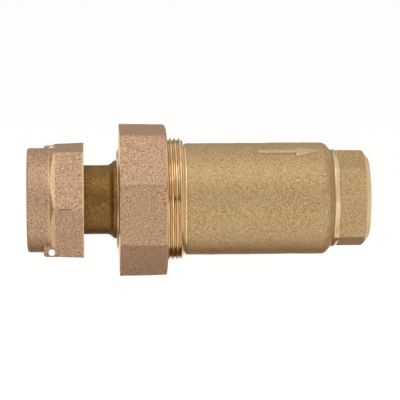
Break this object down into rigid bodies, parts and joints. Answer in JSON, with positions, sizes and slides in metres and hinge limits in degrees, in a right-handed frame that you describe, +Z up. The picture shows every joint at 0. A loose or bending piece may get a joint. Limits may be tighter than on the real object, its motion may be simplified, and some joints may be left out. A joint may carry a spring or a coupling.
{
  "type": "dual check backflow preventer",
  "caption": "Inline dual check valve in cast bronze: swivel meter nut, tailpiece, octagonal union nut, round body and threaded octagonal outlet.",
  "frame": {"origin": "on the flow axis, half way between the inlet end of the meter nut and the outlet end of the body", "axes": "+X along the flow, from the swivel meter nut (-X) to the threaded outlet (+X); +Z up; +Y away from the viewer"},
  "size_m": [0.126, 0.053, 0.053],
  "materials": {
    "cast_bronze": "sand-cast bronze, tumbled, olive gold; machined on the thread and the shoulder band",
    "cast_bronze_nuts": "sand-cast bronze, tumbled, pinkish tan; machined on the end faces",
    "cast_bronze_tail": "sand-cast bronze, dark brown as-cast skin",
    "rubber": "matt moulded black rubber",
    "acetal": "moulded natural acetal",
    "acetal_poppet": "moulded dark blue acetal",
    "stainless": "drawn stainless spring wire",
    "spring_bronze": "drawn phosphor bronze wire"
  },
  "bodies": {
    "valve_body": {"valve_body": "cast_bronze", "union_gasket": "rubber", "inlet_check_housing": "acetal", "inlet_check_o_ring": "rubber", "inlet_check_spring_guide": "acetal", "inlet_check_spring": "stainless", "outlet_check_housing": "acetal", "outlet_check_o_ring": "rubber", "outlet_check_spring_guide": "acetal", "outlet_check_spring": "stainless"},
    "tailpiece": {"union_tailpiece": "cast_bronze_tail", "meter_nut_snap_ring": "spring_bronze", "meter_gasket": "rubber"},
    "union_nut": {"union_nut": "cast_bronze_nuts"},
    "meter_nut": {"meter_nut": "cast_bronze_nuts"},
    "inlet_check": {"inlet_check_poppet": "acetal_poppet", "inlet_check_seal_disc": "rubber", "inlet_check_disc_retainer": "acetal_poppet"},
    "outlet_check": {"outlet_check_poppet": "acetal_poppet", "outlet_check_seal_disc": "rubber", "outlet_check_disc_retainer": "acetal_poppet"}
  },
  "joints": [
    {"name": "tailpiece_pull", "type": "slide", "parent": "valve_body", "child": "tailpiece", "axis": [-1, 0, 0], "range_m": [0, 0.0096]},
    {"name": "union_nut_turn", "type": "hinge", "parent": "tailpiece", "child": "union_nut", "pos_m": [-0.021, 0, 0], "axis": [-1, 0, 0], "range_deg": [0, 2160]},
    {"name": "meter_nut_spin", "type": "hinge", "parent": "tailpiece", "child": "meter_nut", "pos_m": [-0.05, 0, 0], "axis": [1, 0, 0], "continuous": true},
    {"name": "inlet_check_lift", "type": "slide", "parent": "valve_body", "child": "inlet_check", "axis": [1, 0, 0], "range_m": [0, 0.005], "stiffness_N_per_m": 400, "springref_m": -0.006, "deforming": ["inlet_check_spring"]},
    {"name": "outlet_check_lift", "type": "slide", "parent": "valve_body", "child": "outlet_check", "axis": [1, 0, 0], "range_m": [0, 0.005], "stiffness_N_per_m": 400, "springref_m": -0.006, "deforming": ["outlet_check_spring"]}
  ],
  "couplings": [
    {"joint": "tailpiece_pull", "follows": "union_nut_turn", "m_per_rad": 0.00025266}
  ]
}
